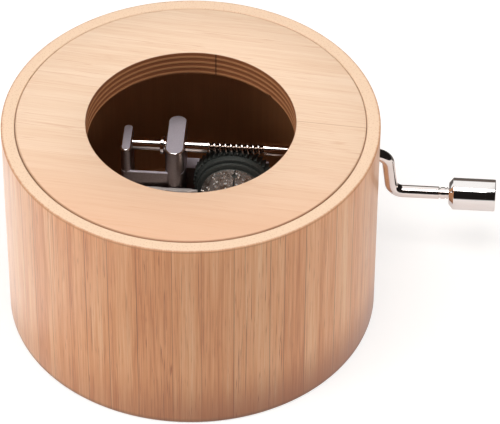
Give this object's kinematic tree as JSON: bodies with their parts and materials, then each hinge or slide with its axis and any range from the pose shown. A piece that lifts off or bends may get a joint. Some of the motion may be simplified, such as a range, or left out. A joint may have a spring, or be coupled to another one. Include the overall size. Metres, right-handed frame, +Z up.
{
  "type": "hand-crank music box",
  "caption": "Round bamboo music box: a hand crank through the wall turns a pinned drum past a steel comb by a worm and wheel, seen through a round window in the lid.",
  "frame": {"origin": "on the case's axis, in the flat underside that it stands on", "axes": "+Z up, +X along the crank shaft out to the handle, +Y away from the picture's viewer"},
  "size_m": [0.0989, 0.075, 0.047],
  "materials": {
    "bamboo_wall": "turned laminated bamboo, clear satin",
    "lid_wood": "sanded plywood with a laser-browned window edge",
    "base_wood": "plain sanded plywood",
    "zinc_casting": "satin zinc die casting",
    "comb_steel": "ground spring steel",
    "lead": "dull lead",
    "damper_film": "thin plastic film",
    "screw_steel": "zinc-plated steel",
    "drum_steel": "punched and rolled bright steel sheet",
    "black_plastic": "black moulded acetal",
    "arbor_steel": "ground steel",
    "crank_plate": "nickel-plated steel wire",
    "knob_plate": "bright chrome plate"
  },
  "bodies": {
    "case": {"case_tube": "bamboo_wall", "lid_ring": "lid_wood", "base_disc": "base_wood", "movement_screws": "screw_steel", "bedplate": "zinc_casting", "comb": "comb_steel", "comb_weights": "lead", "comb_dampers": "damper_film", "comb_screws": "screw_steel", "bearing_cap": "arbor_steel", "bearing_cap_screws": "screw_steel"},
    "crank": {"crank_shaft": "crank_plate", "shaft_collar": "arbor_steel"},
    "knob": {"crank_knob": "knob_plate", "knob_end_cap": "knob_plate"},
    "drum": {"drum_sleeve": "drum_steel", "worm_wheel": "black_plastic", "drum_end_plug": "black_plastic", "drum_arbor": "arbor_steel"}
  },
  "joints": [
    {"name": "crank_turn", "type": "hinge", "parent": "case", "child": "crank", "pos_m": [0.0361, 0.01725, 0.02492], "axis": [1, 0, 0], "continuous": true},
    {"name": "drum_turn", "type": "hinge", "parent": "case", "child": "drum", "pos_m": [0.00725, 0, 0.0159], "axis": [0, 1, 0], "continuous": true},
    {"name": "knob_spin", "type": "hinge", "parent": "crank", "child": "knob", "pos_m": [0.0566, 0.01725, 0.01522], "axis": [1, 0, 0], "continuous": true}
  ],
  "couplings": [
    {"joint": "drum_turn", "follows": "crank_turn", "ratio": -0.022727}
  ]
}
